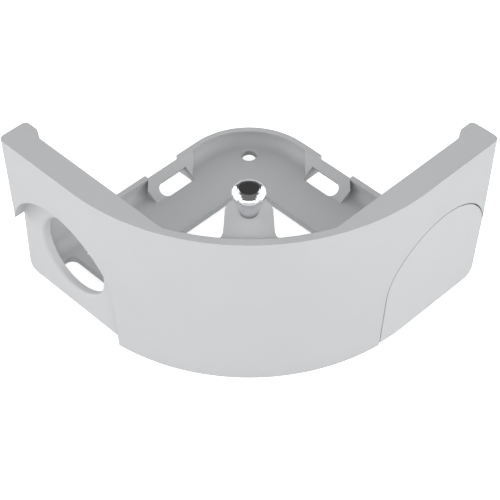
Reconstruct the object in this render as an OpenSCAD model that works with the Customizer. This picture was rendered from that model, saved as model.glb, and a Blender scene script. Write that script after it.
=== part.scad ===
// Conduit back box for a camera that is mounted in the corner of a room.
// A one-piece casting fills the corner: a tall curved front with an open top and back,
// and a low tray with two arms that lie along the two building walls.
// Each wing has an arched recess with a conduit entry. A snap-in cover closes the right one.

/* [Shell] */
// Length of each side along its building wall, at the rim
side_len = 130; // [125:1:150]
// Height of the shell
shell_h = 76; // [68:1:100]
// Plan radius of the curved front at the rim
front_r = 89; // [80:1:90]
// How far the drafted skin leans in from the rim to the lower edge
lean_in = 4.9; // [0.5:0.1:5.5]
// Wall thickness of the curved front
skin_t = 3.2; // [2.4:0.1:4]
// Radius of the upright corner between a wing's outer face and its end
wing_corner_r = 2.6; // [1:0.1:4]
// How far that rounding has run out at the shell's lower edge
corner_fade = 1.1; // [0:0.1:1.2]
// How far the pressing rib at a wing's end stands inward
rib_rise = 2.9; // [1:0.1:5]
// Length of the pressing rib along the wing
rib_len = 6; // [3:0.5:10]
// Length over which the rib runs out into the wing
rib_runout = 5; // [2:0.5:5.5]
// Height of the slope at the top of the rib
rib_slope_h = 0.5; // [0.5:0.1:4]
// Radius of the rib's upright corner at the wall
rib_corner_r = 1.4; // [0.5:0.1:2.4]
// Length of the web that ties a wing's end to the tray's back wall
end_web_len = 24; // [10:0.5:30]
// Height of that web at the rib
end_web_h = 40; // [20:0.5:60]

/* [Conduit entries] */
// Diameter of a conduit entry
entry_d = 33.8; // [24:0.2:36]
// Distance from the building wall to the middle of an entry
entry_from_wall = 28; // [27:0.5:32]
// Height of the middle of an entry
entry_z = 28.3; // [27:0.5:34]
// Rounding of an entry's outer edge
entry_round = 1.4; // [0.4:0.1:2]
// Thickness of the panel that holds an entry
panel_t = 3.4; // [2.6:0.1:5]
// Width of the flat seat for a lock nut, round an entry's inner edge
nut_seat_w = 4.6; // [2:0.1:5]
// Depth of the arched recess below the wing's outer face, at the rim
recess_depth = 7.4; // [6:0.1:9]
// Radius of the arch
arch_r = 27.3; // [26:0.1:29]
// How far the arch sits from the entry, toward the wall and down
arch_shift = 1.5; // [0.5:0.1:2.5]

/* [Tray] */
// Height of the tray's underside above the shell's lower edge
tray_rise = 2.6; // [0.5:0.1:5]
// Thickness of the tray's floor
floor_t = 3; // [2:0.1:5]
// Width of an arm, from the building wall to its front edge
arm_w = 30; // [27:0.5:30]
// Height of the tray's back wall, from the underside
back_wall_h = 8.5; // [8:0.1:16]
// Thickness of the back wall at its top
back_wall_t = 2.6; // [2.2:0.1:3.5]
// Radius of the hollow corner between the back wall and the floor
back_fillet_r = 4.4; // [2:0.1:4.8]
// Radius of the tray's rounded corner
apex_r = 31; // [30.5:0.5:36]
// Diameter of the screw hole behind the corner
screw_hole_d = 6.2; // [4:0.1:6.6]
// Diameter of the screw hole's countersink
screw_sink_d = 7.6; // [7:0.1:10]
// Distance from the corner to the screw hole, along the middle line
screw_hole_at = 24; // [20:0.5:26]

/* [Slots in the tray] */
// Distance from the corner to the square end of a pad slot
pad_slot_at = 43.5; // [43:0.5:48]
// Length of a pad slot
pad_slot_len = 16.5; // [10:0.5:17]
// Width of a pad slot
pad_slot_w = 6.5; // [4:0.1:6.6]
// Distance down the slope from the top of a pad to the middle of its slot
pad_slot_drop = 7.4; // [7.2:0.1:7.6]
// Bare length of a pad on each side of its slot
pad_margin = 4.5; // [3:0.5:7]
// Reach of a pad's slope from the building wall
pad_reach = 11.3; // [10.5:0.1:12]
// Depth of the relief in the back face behind a pad
pad_relief = 1.8; // [0.6:0.1:2]
// Length of that relief past each end of the slot
relief_margin = 0.6; // [0.3:0.1:2]
// Thickness of a pad's sloping web
pad_web_t = 3; // [2.4:0.1:3.4]
// Distance from the gap beside the entry panel to the tie slot
tie_slot_at = 4.2; // [2:0.2:14]
// Length of the tie slot
tie_slot_len = 18; // [10:0.5:20]
// Width of the tie slot
tie_slot_w = 5; // [3:0.1:7]
// Distance from the building wall to the middle of the tie slot
tie_slot_from_wall = 12.5; // [11:0.5:20]
// Width of the gap in the floor beside an entry panel
nut_gap_w = 11.2; // [8:0.2:14]
// Distance from the building wall to that gap
nut_gap_from_wall = 8.6; // [6:0.2:12]
// Corner radius of that gap
nut_gap_r = 3.5; // [1:0.1:3.8]

/* [Tongue and stud] */
// Width of the tongue at the stud
tongue_w = 17.2; // [13:0.2:20]
// Width of the tongue at its root
tongue_root_w = 18.6; // [14:0.2:24]
// Distance from the front skin's inner face to the stud
stud_reach = 14.6; // [10:0.2:30]
// Thickness of the tongue
tongue_t = 5; // [3:0.5:8]
// Drop of the tongue below the rim
tongue_drop = 1.3; // [0.4:0.1:4]
// Radius of the fillets at the tongue's root
tongue_fillet_r = 3.2; // [1:0.1:4]
// Diameter of the stud's flattened ball
ball_d = 12.4; // [10:0.1:14]
// Height of the flattened ball
ball_h = 6.6; // [5:0.1:9]
// Height of the ball's middle above the tongue
ball_rise = 9.1; // [7:0.1:14]
// Diameter of the stud's shank
shank_d = 6.6; // [5:0.1:8]
// Diameter of the stud's threaded end
thread_d = 5; // [3:0.1:5]

/* [Side cover] */
// Gap between the cover and the arch
cover_gap = 0.5; // [0.3:0.05:1]
// Distance from the building wall to the cover's edge
cover_wall_gap = 0.5; // [0.3:0.1:1.5]
// Height of the cover's lower edge above the shell's lower edge
cover_rise = 1.2; // [0.4:0.1:2.4]
// Thickness of the cover
cover_t = 1.2; // [1:0.1:1.4]
// Radius of the cover's and the panel's lower corner at the wall
lower_corner_r = 4.2; // [2:0.1:5]
// Wall thickness of the ring that holds the cover in its entry
ring_t = 1.6; // [1.2:0.1:2.4]
// Width of the cuts that part the ring into fingers
finger_cut_w = 3; // [2:0.1:5]
// How far a finger's hook stands past the edge of the entry
hook_rise = 0.9; // [0.4:0.1:1.5]
// Length of a hook along the ring
hook_len = 1.6; // [1:0.1:3]

/* [Hidden] */
$fn = 96;
// Reach of a cutting shape past the face that it cuts
cut = 1;
// Overlap of two shapes that are joined into one solid
lap = 0.4;
// Clearance of a piece that sits in or on another
seat_clear = 0.15;
// Clearance of the stud's thread in the tongue
thread_clear = 0.05;
// Number of fingers that hold the cover
fingers = 4;
// Number of steps round one half of the flattened ball
ball_steps = 20;
// Number of steps round a wing's upright corner
corner_steps = 6;

front_centre = side_len - front_r;
wing_inner = side_len - recess_depth - panel_t;
panel_outer = side_len - recess_depth;
floor_top = tray_rise + floor_t;
wall_top = tray_rise + back_wall_h;
arch_from_wall = entry_from_wall - arch_shift;
arch_z = entry_z - arch_shift;
diag_skin = front_centre * sqrt(2) + front_r - skin_t;
stud_at = diag_skin - stud_reach;
front_reach = front_centre * sqrt(2) + front_r;
back_reach = apex_r * (sqrt(2) - 1);
// Distance from the building's corner to the middle of the box, where the origin is
origin_at = (front_reach + back_reach) / 2;
tongue_top = shell_h - tongue_drop;
nut_gap_at = wing_inner - nut_gap_w;
rib_face = wing_inner - rib_rise;
rib_end = rib_len + rib_runout;
pad_fall = atan2(wall_top - floor_top, pad_reach - back_wall_t);
light_grey = [0.78, 0.79, 0.80];

// How far a drafted face leans in at height z
function lean(z) = lean_in * (shell_h - z) / shell_h;

// Frames
// The corner frame starts at the building's corner, with its X and Y axes along the two walls
module corner_frame() {
    translate([0, origin_at, 0]) rotate([0, 0, -135]) children();
}

// The middle frame starts there too, with its X axis toward the middle of the front
module middle_frame() {
    translate([0, origin_at, 0]) rotate([0, 0, -90]) children();
}

module each_side() {
    children();
    mirror([1, -1, 0]) children();
}

// Extrudes a section, drawn as distance from the wall and height, along the wall
module along_wall(from, to) {
    translate([from, 0, 0]) rotate([90, 0, 90]) linear_extrude(to - from) children();
}

// Extrudes a side view, drawn as distance from the corner and height, out from the wall
module out_from_wall(reach) {
    translate([0, reach, 0]) rotate([90, 0, 0]) linear_extrude(reach) children();
}

module rounded_rect(size, r) {
    translate([r, 0]) square([size.x - 2 * r, size.y]);
    translate([0, r]) square([size.x, size.y - 2 * r]);
    for (x = [r, size.x - r], y = [r, size.y - r]) translate([x, y]) circle(r);
}

module slot_plan(len, w, square_start = false) {
    start = square_start ? 0 : w / 2;
    translate([start, -w / 2]) square([len - w / 2 - start, w]);
    translate([len - w / 2, 0]) circle(d = w);
    if (!square_start) translate([w / 2, 0]) circle(d = w);
}

// Shell
// Everything inside the drafted skin, moved inward by inset
module drafted_block(inset) {
    translate([front_centre, front_centre, 0]) rotate_extrude(angle = 90) polygon([
        [0, 0],
        [front_r - inset - lean_in, 0],
        [front_r - inset, shell_h],
        [0, shell_h]
    ]);
    each_side() translate([0, front_centre, 0]) rotate([90, 0, 0]) linear_extrude(front_centre) polygon([
        [0, 0],
        [side_len - inset - lean_in, 0],
        [side_len - inset, shell_h],
        [0, shell_h]
    ]);
}

// The space between the two wings and behind the front
module inner_space() {
    intersection() {
        translate([front_centre, front_centre, 0]) rotate_extrude(angle = 90) polygon([
            [0, -cut],
            [front_r - skin_t - lean(-cut), -cut],
            [front_r - skin_t - lean(shell_h + cut), shell_h + cut],
            [0, shell_h + cut]
        ]);
        translate([0, 0, -2 * cut]) cube([wing_inner, wing_inner, shell_h + 4 * cut]);
    }
    each_side() translate([-cut, -cut, -cut]) cube([wing_inner + cut, front_centre + 3 * cut, shell_h + 2 * cut]);
}

// Outline of the arched recess: distance from the building wall, then height
module arch_plan(shrink) {
    difference() {
        union() {
            translate([arch_from_wall, arch_z]) circle(arch_r - shrink);
            translate([arch_from_wall - arch_r, -2 * cut]) square([2 * arch_r - shrink, arch_z + 2 * cut]);
        }
        translate([-arch_r - cut, -3 * cut]) square([arch_r, 2 * shell_h]);
    }
}

module arch_recess() {
    along_wall(panel_outer, side_len + cut) arch_plan(0);
    along_wall(wing_inner - 2 * rib_rise, side_len + cut) panel_underside();
}

// What is cut away below the entry panel, with its rounded lower corner at the wall
module panel_underside() {
    translate([-cut, -cut]) square([arch_from_wall + arch_r + cut, tray_rise + cut]);
    lower_corner(0, tray_rise);
}

// The waste outside a rounded lower corner that starts at the given wall distance and height
module lower_corner(from_wall, z) {
    difference() {
        translate([from_wall - cut, z - cut]) square(lower_corner_r + cut);
        translate([from_wall + lower_corner_r, z + lower_corner_r]) circle(lower_corner_r);
        translate([from_wall + lower_corner_r, z]) square([cut, lower_corner_r + cut]);
        translate([from_wall, z + lower_corner_r]) square([lower_corner_r + cut, cut]);
    }
}

// The rib at a wing's end that presses on the building wall
module end_rib() {
    difference() {
        translate([0, 0, floor_top - lap]) linear_extrude(shell_h - floor_top + lap) difference() {
            polygon([
                [wing_inner + lap, 0],
                [rib_face, 0],
                [rib_face, rib_len],
                [wing_inner, rib_end],
                [wing_inner + lap, rib_end]
            ]);
            translate([rib_face, 0]) corner_waste(rib_corner_r);
        }
        translate([rib_face, -cut, shell_h - rib_slope_h]) rotate([0, -atan2(rib_slope_h, rib_rise - lap), 0])
            translate([-2 * rib_rise, 0, 0]) cube([5 * rib_rise, rib_end + 2 * cut, 2 * rib_slope_h]);
    }
}

// The web on the wall plane that rises from the tray's back wall to the rib
module end_web() {
    out_from_wall(back_wall_t) polygon([
        [wing_inner - end_web_len, wall_top - lap],
        [wing_inner - end_web_len, wall_top],
        [rib_face, end_web_h],
        [wing_inner - lap, end_web_h],
        [wing_inner - lap, wall_top - lap]
    ]);
}

// The waste outside a rounded plan corner of radius r at the origin, for material on +X and +Y
module corner_waste(r) {
    difference() {
        translate([-cut, -cut]) square(r + cut);
        translate([r, r]) circle(r);
    }
}

// The waste outside the upright corner of a wing, which leans with the draft and runs out downward
module wing_corner_waste() {
    lean_angle = atan2(lean_in - corner_fade, shell_h);
    fade_angle = atan2(corner_fade, shell_h);
    translate([side_len, 0, shell_h]) rotate([-fade_angle, lean_angle, 0]) translate([0, 0, -2 * shell_h])
        linear_extrude(3 * shell_h) rotate([0, 0, 90]) polygon([
            [-cut, -cut],
            [wing_corner_r, -cut],
            for (i = [0 : corner_steps]) let (a = 270 - 90 * i / corner_steps)
                [wing_corner_r + wing_corner_r * cos(a), wing_corner_r + wing_corner_r * sin(a)],
            [-cut, wing_corner_r]
        ]);
}

// Conduit entry with a rounded outer edge
module entry_hole() {
    translate([wing_inner - cut, entry_from_wall, entry_z]) rotate([0, 90, 0]) {
        cylinder(d = entry_d, h = panel_t + recess_depth + 2 * cut);
        translate([0, 0, cut + panel_t - entry_round]) rotate_extrude() difference() {
            square([entry_d / 2 + entry_round, entry_round + lap]);
            translate([entry_d / 2 + entry_round, 0]) circle(entry_round);
        }
    }
}

// The flat seat for a lock nut, sunk into the rib's run-out
module nut_seat() {
    translate([rib_face - cut, entry_from_wall, entry_z]) rotate([0, 90, 0])
        cylinder(d = entry_d + 2 * nut_seat_w, h = rib_rise + cut);
}

// Tray
// Section of the tray: distance from the building wall, then height
module tray_section() {
    translate([0, tray_rise]) square([back_wall_t, back_wall_h]);
    translate([0, tray_rise]) square([arm_w, floor_t]);
    difference() {
        translate([back_wall_t - lap, floor_top - lap]) square(back_fillet_r + lap);
        translate([back_wall_t + back_fillet_r, floor_top + back_fillet_r]) circle(back_fillet_r);
    }
}

module tray_blank() {
    each_side() along_wall(apex_r, wing_inner + lap) tray_section();
    translate([apex_r, apex_r, 0]) rotate([0, 0, 180]) rotate_extrude(angle = 90)
        translate([apex_r, 0]) mirror([1, 0]) tray_section();
}

// A sloping pad from the top of the back wall down to the floor
module slope_pad() {
    from = pad_slot_at - pad_margin;
    to = pad_slot_at + pad_slot_len + pad_margin;
    intersection() {
        along_wall(from - pad_reach, to + pad_reach) polygon([
            [back_wall_t - lap, tray_rise],
            [back_wall_t - lap, wall_top],
            [back_wall_t, wall_top],
            [pad_reach, floor_top],
            [pad_reach, tray_rise]
        ]);
        translate([0, 0, tray_rise]) linear_extrude(back_wall_h) polygon([
            [from - pad_reach / 2, 0],
            [from + pad_reach / 2, pad_reach],
            [to, pad_reach],
            [to, pad_reach / 2],
            [to - pad_reach / 2, 0]
        ]);
    }
}

module pad_slot() {
    middle = back_wall_t + pad_slot_drop * cos(pad_fall);
    height = wall_top - pad_slot_drop * sin(pad_fall);
    translate([pad_slot_at, middle, height]) rotate([-pad_fall, 0, 0])
        linear_extrude(4 * back_wall_h, center = true) slot_plan(pad_slot_len, pad_slot_w, square_start = true);
}

// The relief behind and below a pad, which leaves the pad as a sloping web
module pad_relief_cut() {
    web_drop = pad_web_t / cos(pad_fall);
    web_back = wall_top - web_drop + (back_wall_t - pad_relief) * tan(pad_fall);
    web_foot = pad_relief + (web_back - tray_rise) / tan(pad_fall);
    along_wall(pad_slot_at - relief_margin, pad_slot_at + pad_slot_len + relief_margin) polygon([
        [-cut, tray_rise - cut],
        [-cut, wall_top + cut],
        [pad_relief, wall_top + cut],
        [pad_relief, web_back],
        [web_foot, tray_rise],
        [web_foot, tray_rise - cut]
    ]);
}

module tie_slot() {
    translate([nut_gap_at - tie_slot_at - tie_slot_len, tie_slot_from_wall, tray_rise - cut])
        linear_extrude(floor_t + 2 * cut) slot_plan(tie_slot_len, tie_slot_w);
}

// The gap beside the entry panel that clears a conduit's lock nut
module nut_gap() {
    translate([nut_gap_at, nut_gap_from_wall, tray_rise - cut])
        linear_extrude(floor_t + 2 * cut)
            rounded_rect([nut_gap_w, arm_w - nut_gap_from_wall + nut_gap_r + cut], nut_gap_r);
}

module screw_hole() {
    sink_h = (screw_sink_d - screw_hole_d) / 2;
    translate([screw_hole_at / sqrt(2), screw_hole_at / sqrt(2), tray_rise - cut]) {
        cylinder(d = screw_hole_d, h = floor_t + 2 * cut);
        translate([0, 0, cut + floor_t - sink_h]) cylinder(d1 = screw_hole_d, d2 = screw_sink_d + 2 * cut, h = sink_h + cut);
    }
}

// Tongue
module tongue_plan() {
    root = diag_skin + lap;
    translate([stud_at, 0]) circle(d = tongue_w);
    polygon([
        [stud_at, -tongue_w / 2],
        [root, -tongue_root_w / 2],
        [root, tongue_root_w / 2],
        [stud_at, tongue_w / 2]
    ]);
    for (side = [-1, 1]) scale([1, side]) root_fillet();
}

module root_fillet() {
    sag = diag_skin - sqrt(pow(front_r - skin_t, 2) - pow(tongue_root_w / 2 + tongue_fillet_r, 2)) - front_centre * sqrt(2);
    difference() {
        translate([diag_skin - sag - tongue_fillet_r, tongue_root_w / 2 - lap])
            square([tongue_fillet_r + sag + lap, tongue_fillet_r + lap]);
        translate([diag_skin - sag - tongue_fillet_r, tongue_root_w / 2 + tongue_fillet_r]) circle(tongue_fillet_r);
    }
}

module tongue() {
    translate([0, 0, tongue_top - tongue_t]) linear_extrude(tongue_t) tongue_plan();
}

module stud_hole() {
    translate([stud_at, 0, tongue_top - tongue_t - cut]) cylinder(d = thread_d + 2 * thread_clear, h = tongue_t + 2 * cut);
}

// The casting
module housing() {
    color(light_grey) difference() {
        union() {
            corner_frame() {
                difference() {
                    drafted_block(0);
                    inner_space();
                    each_side() arch_recess();
                    each_side() wing_corner_waste();
                }
                tray_blank();
                each_side() slope_pad();
                each_side() end_rib();
                each_side() end_web();
            }
            middle_frame() tongue();
        }
        corner_frame() {
            each_side() entry_hole();
            each_side() nut_seat();
            each_side() pad_relief_cut();
            each_side() pad_slot();
            each_side() tie_slot();
            each_side() nut_gap();
            screw_hole();
        }
        middle_frame() stud_hole();
    }
}

// The cover
// Outline of the cover, moved inward by shrink: distance from the wall, then height
module cover_plan(shrink) {
    difference() {
        arch_plan(cover_gap + shrink);
        translate([-2 * cut, -3 * cut]) square([2 * cut + cover_wall_gap + shrink, 2 * shell_h]);
        translate([-2 * cut, -3 * cut]) square([4 * arch_r, 3 * cut + cover_rise + shrink]);
        lower_corner(cover_wall_gap + shrink, cover_rise + shrink);
    }
}

module side_cover() {
    color(light_grey) corner_frame() mirror([1, -1, 0]) {
        difference() {
            intersection() {
                drafted_block(0);
                along_wall(panel_outer + seat_clear, side_len) cover_plan(0);
            }
            intersection() {
                drafted_block(cover_t);
                along_wall(panel_outer, side_len) cover_plan(cover_t);
            }
        }
        snap_ring();
    }
}

// Four sprung fingers that pass through the entry and hook behind the panel
module snap_ring() {
    outer_r = entry_d / 2 - seat_clear;
    tip = wing_inner - seat_clear - hook_len;
    difference() {
        intersection() {
            drafted_block(cover_t - lap);
            translate([tip, entry_from_wall, entry_z]) rotate([0, 90, 0]) ring_blank(outer_r);
        }
        for (i = [0 : fingers / 2 - 1]) translate([tip - cut, entry_from_wall, entry_z])
            rotate([45 + i * 360 / fingers, 0, 0])
                translate([0, -finger_cut_w / 2, -entry_d]) cube([panel_outer - tip + cut, finger_cut_w, 2 * entry_d]);
    }
}

// The ring before it is cut into fingers, with the hook at its tip
module ring_blank(outer_r) {
    rotate_extrude() polygon([
        [outer_r - ring_t, 0],
        [outer_r, 0],
        [outer_r + hook_rise, hook_len],
        [outer_r, hook_len],
        [outer_r, entry_d],
        [outer_r - ring_t, entry_d]
    ]);
}

// The stud
module ball_stud() {
    color([0.86, 0.86, 0.87]) middle_frame() translate([stud_at, 0, tongue_top]) {
        translate([0, 0, -tongue_t]) cylinder(d = thread_d, h = tongue_t + lap);
        cylinder(d = shank_d, h = ball_rise);
        translate([0, 0, ball_rise]) rotate_extrude() polygon([
            for (i = [0 : ball_steps]) let (a = -90 + 180 * i / ball_steps)
                [ball_d / 2 * cos(a), ball_h / 2 * sin(a)]
        ]);
    }
}

housing();
side_cover();
ball_stud();
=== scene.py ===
"""Looks of a corner conduit box: powder-coated casting, moulded cover and polished ball stud."""

import math

import bpy
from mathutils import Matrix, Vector

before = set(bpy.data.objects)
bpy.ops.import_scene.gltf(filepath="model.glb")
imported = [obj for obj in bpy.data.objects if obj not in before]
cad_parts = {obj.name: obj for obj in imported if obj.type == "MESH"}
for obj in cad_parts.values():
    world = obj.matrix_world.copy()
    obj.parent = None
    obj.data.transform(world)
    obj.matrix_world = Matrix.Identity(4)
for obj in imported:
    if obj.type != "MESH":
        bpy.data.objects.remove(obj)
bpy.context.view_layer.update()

MM = 0.001

# Colours, as linear light
PAINT_GREY = (0.570, 0.579, 0.590)
PAINT_GREY_DEEP = (0.532, 0.541, 0.552)
PAINT_GREY_WORN = (0.665, 0.670, 0.675)
COVER_GREY = (0.582, 0.592, 0.601)
COVER_GREY_DEEP = (0.550, 0.560, 0.570)
COVER_GREY_WORN = (0.650, 0.657, 0.663)
# Dust in hollow corners, which also stands in as painted shade there
DUST_AND_SHADE_GREY = (0.360, 0.355, 0.345)
STEEL = (0.86, 0.86, 0.87)
STEEL_DEEP = (0.74, 0.74, 0.76)
# Painted shade where the stud meets the housing: a near-black that darkens its foot
FOOT_SHADE_DARK = (0.12, 0.12, 0.12)
STEEL_WORN = (0.66, 0.66, 0.67)
FLOOR_WHITE = (0.93, 0.93, 0.93)
FLOOR_LIFT = 0.72

# What polished metal sees of the studio
CEILING_LIGHT = 0.05
HAZE_LIGHT = 0.14
SIDE_LIGHT = 1.25
FRONT_LIGHT = 0.6

# The camera of the photograph: its height angle, its place and its focal length in pixels
PHOTO_SIZE = 500
PHOTO_FOCAL = 1733.13
PHOTO_MIDDLE_X = 249.0
CAMERA_AT = (0.0, -0.48428, 0.50058)
CAMERA_DOWN = math.radians(45.648)
SENSOR_MM = 36.0


def sockets(group, ins, outs):
    """Gives a node group its named inputs, with their start values, and its outputs."""
    for name, kind, value in ins:
        socket = group.interface.new_socket(name, in_out="INPUT", socket_type=kind)
        if value is not None:
            socket.default_value = value
    for name, kind in outs:
        group.interface.new_socket(name, in_out="OUTPUT", socket_type=kind)


def coat_grain_group():
    """Fine orange peel of a powder coat, its slow change of tone, soft edges and light wear on them."""
    group = bpy.data.node_groups.new("coat_grain", "ShaderNodeTree")
    sockets(
        group,
        [
            ("Colour", "NodeSocketColor", (0.6, 0.6, 0.6, 1.0)),
            ("Deep Colour", "NodeSocketColor", (0.5, 0.5, 0.5, 1.0)),
            ("Grain Scale", "NodeSocketFloat", 1400.0),
            ("Tone Scale", "NodeSocketFloat", 22.0),
            ("Roughness", "NodeSocketFloat", 0.5),
            ("Roughness Spread", "NodeSocketFloat", 0.1),
            ("Grain Height", "NodeSocketFloat", 0.1),
            ("Edge Radius", "NodeSocketFloat", 0.4 * MM),
            ("Edge Wear", "NodeSocketFloat", 0.5),
            ("Worn Colour", "NodeSocketColor", (0.6, 0.6, 0.6, 1.0)),
        ],
        [("Colour", "NodeSocketColor"), ("Roughness", "NodeSocketFloat"), ("Normal", "NodeSocketVector")],
    )
    nodes, links = group.nodes, group.links
    inp = nodes.new("NodeGroupInput")
    out = nodes.new("NodeGroupOutput")
    place = nodes.new("ShaderNodeTexCoord")

    tone = nodes.new("ShaderNodeTexNoise")
    tone.inputs["Detail"].default_value = 4.0
    links.new(place.outputs["Object"], tone.inputs["Vector"])
    links.new(inp.outputs["Tone Scale"], tone.inputs["Scale"])

    mix = nodes.new("ShaderNodeMix")
    mix.data_type = "RGBA"
    links.new(tone.outputs["Fac"], mix.inputs["Factor"])
    links.new(inp.outputs["Colour"], mix.inputs["A"])
    links.new(inp.outputs["Deep Colour"], mix.inputs["B"])

    edge = nodes.new("ShaderNodeBevel")
    edge.samples = 6
    links.new(inp.outputs["Edge Radius"], edge.inputs["Radius"])
    shape = nodes.new("ShaderNodeNewGeometry")
    along = nodes.new("ShaderNodeVectorMath")
    along.operation = "DOT_PRODUCT"
    links.new(edge.outputs["Normal"], along.inputs[0])
    links.new(shape.outputs["Normal"], along.inputs[1])
    turned = nodes.new("ShaderNodeMapRange")
    turned.inputs["From Min"].default_value = 0.995
    turned.inputs["From Max"].default_value = 0.85
    links.new(along.outputs["Value"], turned.inputs["Value"])
    patch = nodes.new("ShaderNodeTexNoise")
    patch.inputs["Scale"].default_value = 260.0
    patch.inputs["Detail"].default_value = 3.0
    links.new(place.outputs["Object"], patch.inputs["Vector"])
    rubbed = nodes.new("ShaderNodeMath")
    rubbed.operation = "MULTIPLY"
    links.new(turned.outputs["Result"], rubbed.inputs[0])
    links.new(patch.outputs["Fac"], rubbed.inputs[1])
    share = nodes.new("ShaderNodeMath")
    share.operation = "MULTIPLY"
    share.use_clamp = True
    links.new(rubbed.outputs[0], share.inputs[0])
    links.new(inp.outputs["Edge Wear"], share.inputs[1])
    worn = nodes.new("ShaderNodeMix")
    worn.data_type = "RGBA"
    links.new(share.outputs[0], worn.inputs["Factor"])
    links.new(mix.outputs["Result"], worn.inputs["A"])
    links.new(inp.outputs["Worn Colour"], worn.inputs["B"])
    links.new(worn.outputs["Result"], out.inputs["Colour"])

    grain = nodes.new("ShaderNodeTexNoise")
    grain.inputs["Detail"].default_value = 2.0
    links.new(place.outputs["Object"], grain.inputs["Vector"])
    links.new(inp.outputs["Grain Scale"], grain.inputs["Scale"])

    spread = nodes.new("ShaderNodeMath")
    spread.operation = "MULTIPLY_ADD"
    links.new(grain.outputs["Fac"], spread.inputs[0])
    links.new(inp.outputs["Roughness Spread"], spread.inputs[1])
    links.new(inp.outputs["Roughness"], spread.inputs[2])
    links.new(spread.outputs[0], out.inputs["Roughness"])

    bump = nodes.new("ShaderNodeBump")
    bump.inputs["Distance"].default_value = 0.05 * MM
    links.new(inp.outputs["Grain Height"], bump.inputs["Strength"])
    links.new(grain.outputs["Fac"], bump.inputs["Height"])
    links.new(edge.outputs["Normal"], bump.inputs["Normal"])
    links.new(bump.outputs["Normal"], out.inputs["Normal"])
    return group


def painted_hollow_shade_group(name, own_shape_only):
    """Another colour in hollow corners, either of the piece alone or also where pieces meet; it darkens where
    shade falls, so it is painted shade.
    """
    group = bpy.data.node_groups.new(name, "ShaderNodeTree")
    sockets(
        group,
        [
            ("Colour", "NodeSocketColor", (0.6, 0.6, 0.6, 1.0)),
            ("Hollow Colour", "NodeSocketColor", (0.5, 0.5, 0.5, 1.0)),
            ("Reach", "NodeSocketFloat", 3.0 * MM),
            ("Amount", "NodeSocketFloat", 0.2),
        ],
        [("Colour", "NodeSocketColor")],
    )
    nodes, links = group.nodes, group.links
    inp = nodes.new("NodeGroupInput")
    out = nodes.new("NodeGroupOutput")
    hollow = nodes.new("ShaderNodeAmbientOcclusion")
    hollow.samples = 8
    hollow.only_local = own_shape_only
    links.new(inp.outputs["Reach"], hollow.inputs["Distance"])
    turn = nodes.new("ShaderNodeMath")
    turn.operation = "SUBTRACT"
    turn.inputs[0].default_value = 1.0
    links.new(hollow.outputs["AO"], turn.inputs[1])
    amount = nodes.new("ShaderNodeMath")
    amount.operation = "MULTIPLY"
    links.new(turn.outputs[0], amount.inputs[0])
    links.new(inp.outputs["Amount"], amount.inputs[1])
    mix = nodes.new("ShaderNodeMix")
    mix.data_type = "RGBA"
    links.new(amount.outputs[0], mix.inputs["Factor"])
    links.new(inp.outputs["Colour"], mix.inputs["A"])
    links.new(inp.outputs["Hollow Colour"], mix.inputs["B"])
    links.new(mix.outputs["Result"], out.inputs["Colour"])
    return group


GRAIN = coat_grain_group()
DUST_AND_PAINTED_SHADE = painted_hollow_shade_group("corner_dust_and_painted_shade", True)
FOOT_PAINTED_SHADE = painted_hollow_shade_group("foot_painted_shade", False)


def place_group(material, group, **values):
    node = material.node_tree.nodes.new("ShaderNodeGroup")
    node.node_tree = group
    for name, value in values.items():
        socket = node.inputs[name.replace("_", " ")]
        socket.default_value = (*value, 1.0) if isinstance(value, tuple) else value
    return node


def coated(name, colour, deep, worn, roughness, grain_scale, grain_height, sheen):
    """A coated or moulded grey surface with grain, slow tone, and dust with painted shade in its corners."""
    material = bpy.data.materials.new(name)
    material.use_nodes = True
    links = material.node_tree.links
    shader = material.node_tree.nodes["Principled BSDF"]
    shader.inputs["Specular IOR Level"].default_value = sheen
    grain = place_group(
        material,
        GRAIN,
        Colour=colour,
        Deep_Colour=deep,
        Grain_Scale=grain_scale,
        Roughness=roughness,
        Roughness_Spread=0.12,
        Grain_Height=grain_height,
        Edge_Radius=0.45 * MM,
        Edge_Wear=0.55,
        Worn_Colour=worn,
    )
    # Dust and painted shade: darkens the coat in hollow corners, where shade falls
    dust_and_painted_shade = place_group(material, DUST_AND_PAINTED_SHADE, Hollow_Colour=DUST_AND_SHADE_GREY, Reach=8.0 * MM, Amount=0.8)
    links.new(grain.outputs["Colour"], dust_and_painted_shade.inputs["Colour"])
    links.new(dust_and_painted_shade.outputs["Colour"], shader.inputs["Base Color"])
    links.new(grain.outputs["Roughness"], shader.inputs["Roughness"])
    links.new(grain.outputs["Normal"], shader.inputs["Normal"])
    return material


def powder_coat():
    return coated("grey_powder_coat", PAINT_GREY, PAINT_GREY_DEEP, PAINT_GREY_WORN, 0.46, 1500.0, 0.10, 0.35)


def moulded_cover():
    return coated("grey_moulded_cover", COVER_GREY, COVER_GREY_DEEP, COVER_GREY_WORN, 0.42, 2100.0, 0.06, 0.38)


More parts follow.
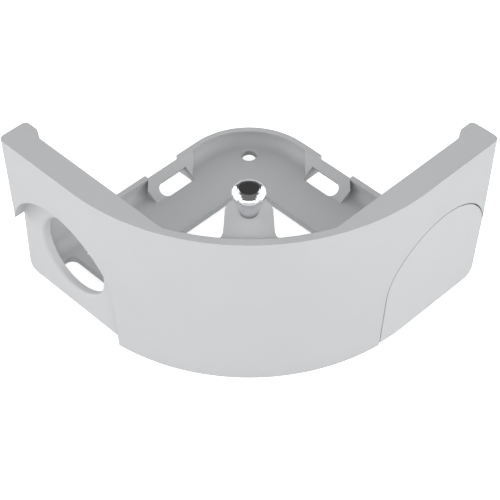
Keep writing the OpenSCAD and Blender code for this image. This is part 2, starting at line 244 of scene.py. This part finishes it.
def polished_steel():
    """Polished steel with fine grain, a slow change of tone, worn edges and painted shade at the stud's foot.
    """
    material = bpy.data.materials.new("polished_steel")
    material.use_nodes = True
    nodes, links = material.node_tree.nodes, material.node_tree.links
    shader = nodes["Principled BSDF"]
    shader.inputs["Metallic"].default_value = 1.0
    grain = place_group(
        material,
        GRAIN,
        Colour=STEEL,
        Deep_Colour=STEEL_DEEP,
        Grain_Scale=900.0,
        Tone_Scale=160.0,
        Roughness=0.05,
        Roughness_Spread=0.05,
        Grain_Height=0.01,
        Edge_Radius=0.15 * MM,
        Edge_Wear=0.4,
        Worn_Colour=STEEL_WORN,
    )
    # Painted shade: darkens the steel near the housing and the floor, where shade falls at the stud's foot
    foot_shade = place_group(material, FOOT_PAINTED_SHADE, Hollow_Colour=FOOT_SHADE_DARK, Reach=2.2 * MM, Amount=1.5)
    links.new(grain.outputs["Colour"], foot_shade.inputs["Colour"])
    links.new(foot_shade.outputs["Colour"], shader.inputs["Base Color"])
    links.new(grain.outputs["Roughness"], shader.inputs["Roughness"])
    links.new(grain.outputs["Normal"], shader.inputs["Normal"])
    return material


def finish_node(name, material):
    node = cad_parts[name]
    node.data.materials.clear()
    node.data.materials.append(material)


finish_node("housing", powder_coat())
finish_node("side_cover", moulded_cover())
finish_node("ball_stud", polished_steel())


def photo_camera():
    data = bpy.data.cameras.new("photo_camera")
    data.sensor_width = SENSOR_MM
    data.lens = SENSOR_MM * PHOTO_FOCAL / PHOTO_SIZE
    data.shift_x = (PHOTO_SIZE / 2 - PHOTO_MIDDLE_X) / PHOTO_SIZE
    data.clip_start = 0.01
    camera = bpy.data.objects.new("photo_camera", data)
    camera.location = CAMERA_AT
    camera.rotation_euler = (math.radians(90.0) - CAMERA_DOWN, 0.0, 0.0)
    bpy.context.collection.objects.link(camera)
    bpy.context.scene.camera = camera


def step_between(tree, value, low, high):
    """A soft step of a value: nought below low, one above high, or the other way round."""
    step = tree.nodes.new("ShaderNodeMapRange")
    step.interpolation_type = "SMOOTHSTEP"
    step.inputs["From Min"].default_value = low
    step.inputs["From Max"].default_value = high
    tree.links.new(value, step.inputs["Value"])
    return step.outputs["Result"]


def arithmetic(tree, operation, *values):
    node = tree.nodes.new("ShaderNodeMath")
    node.operation = operation
    for socket, value in zip(node.inputs, values):
        if isinstance(value, float):
            socket.default_value = value
        else:
            tree.links.new(value, socket)
    return node.outputs[0]


def studio_seen_in_gloss(tree):
    """Brightness of the studio by direction: bright sides and a bright low front, a dark ceiling and back."""
    way = tree.nodes.new("ShaderNodeTexCoord")
    parts = tree.nodes.new("ShaderNodeSeparateXYZ")
    tree.links.new(way.outputs["Generated"], parts.inputs["Vector"])
    sides = step_between(tree, arithmetic(tree, "ABSOLUTE", parts.outputs["X"]), 0.50, 0.58)
    over = arithmetic(tree, "MULTIPLY_ADD", parts.outputs["Y"], 0.9, parts.outputs["Z"])
    haze = arithmetic(tree, "MULTIPLY_ADD", step_between(tree, over, 1.16, 0.98), HAZE_LIGHT, CEILING_LIGHT)
    front = step_between(tree, over, -0.50, -0.66)
    sides = arithmetic(tree, "MULTIPLY", sides, SIDE_LIGHT)
    front = arithmetic(tree, "MULTIPLY", front, FRONT_LIGHT)
    return arithmetic(tree, "MAXIMUM", haze, arithmetic(tree, "MAXIMUM", sides, front))


def soft_world(strength):
    """Even soft light; the eye sees white behind the box, and gloss sees the studio."""
    world = bpy.data.worlds.new("soft_world")
    bpy.context.scene.world = world
    world.use_nodes = True
    tree = world.node_tree
    sky = tree.nodes["Background"]
    sky.inputs["Color"].default_value = (1.0, 1.0, 1.0, 1.0)
    path = tree.nodes.new("ShaderNodeLightPath")
    shown = arithmetic(tree, "MAXIMUM", path.outputs["Is Camera Ray"], path.outputs["Is Transmission Ray"])
    gloss = arithmetic(tree, "MULTIPLY", path.outputs["Is Glossy Ray"], studio_seen_in_gloss(tree))
    plain = arithmetic(tree, "SUBTRACT", 1.0, arithmetic(tree, "MAXIMUM", shown, path.outputs["Is Glossy Ray"]))
    lit = arithmetic(tree, "MULTIPLY_ADD", plain, strength, arithmetic(tree, "ADD", shown, gloss))
    tree.links.new(lit, sky.inputs["Strength"])


def pale_floor():
    """A white floor, lifted to white for the eye, which leaves almost nothing of the box's soft shadow."""
    mesh = bpy.data.meshes.new("pale_floor")
    half = 4.0
    mesh.from_pydata(
        [(-half, -half, 0.0), (half, -half, 0.0), (half, half, 0.0), (-half, half, 0.0)], [], [(0, 1, 2, 3)]
    )
    floor = bpy.data.objects.new("pale_floor", mesh)
    floor.location.z = -0.2 * MM
    bpy.context.collection.objects.link(floor)
    material = bpy.data.materials.new("pale_floor")
    material.use_nodes = True
    tree = material.node_tree
    shader = tree.nodes["Principled BSDF"]
    shader.inputs["Base Color"].default_value = (*FLOOR_WHITE, 1.0)
    shader.inputs["Roughness"].default_value = 0.9
    shader.inputs["Specular IOR Level"].default_value = 0.0
    path = tree.nodes.new("ShaderNodeLightPath")
    lift = tree.nodes.new("ShaderNodeMath")
    lift.operation = "MULTIPLY"
    lift.inputs[1].default_value = FLOOR_LIFT
    tree.links.new(path.outputs["Is Camera Ray"], lift.inputs[0])
    shader.inputs["Emission Color"].default_value = (1.0, 1.0, 1.0, 1.0)
    tree.links.new(lift.outputs[0], shader.inputs["Emission Strength"])
    floor.data.materials.append(material)


LAMP_AIM = Vector((0.0, -0.01, 0.04))
LAMP_REACH = 1.2
LAMP_SIZE = 0.7


def soft_lamp(name, turn, rise, power):
    """A square softbox, turned from the front toward the right and raised, both in degrees."""
    data = bpy.data.lights.new(name, "AREA")
    data.shape = "SQUARE"
    data.size = LAMP_SIZE
    data.energy = power
    turn, rise = math.radians(turn), math.radians(rise)
    way = Vector((math.sin(turn) * math.cos(rise), -math.cos(turn) * math.cos(rise), math.sin(rise)))
    lamp = bpy.data.objects.new(name, data)
    lamp.location = LAMP_AIM + LAMP_REACH * way
    lamp.rotation_euler = (-way).to_track_quat("-Z", "Y").to_euler()
    bpy.context.collection.objects.link(lamp)


photo_camera()
soft_world(0.42)
pale_floor()
for side, way in (("right", 1.0), ("left", -1.0)):
    soft_lamp(side + "_front_softbox", way * 18.0, 25.0, 3.95)
    soft_lamp(side + "_side_softbox", way * 90.0, 12.0, 4.5)
    soft_lamp(side + "_back_softbox", way * 130.0, 5.0, 8.0)

bpy.context.scene.view_settings.view_transform = "Standard"
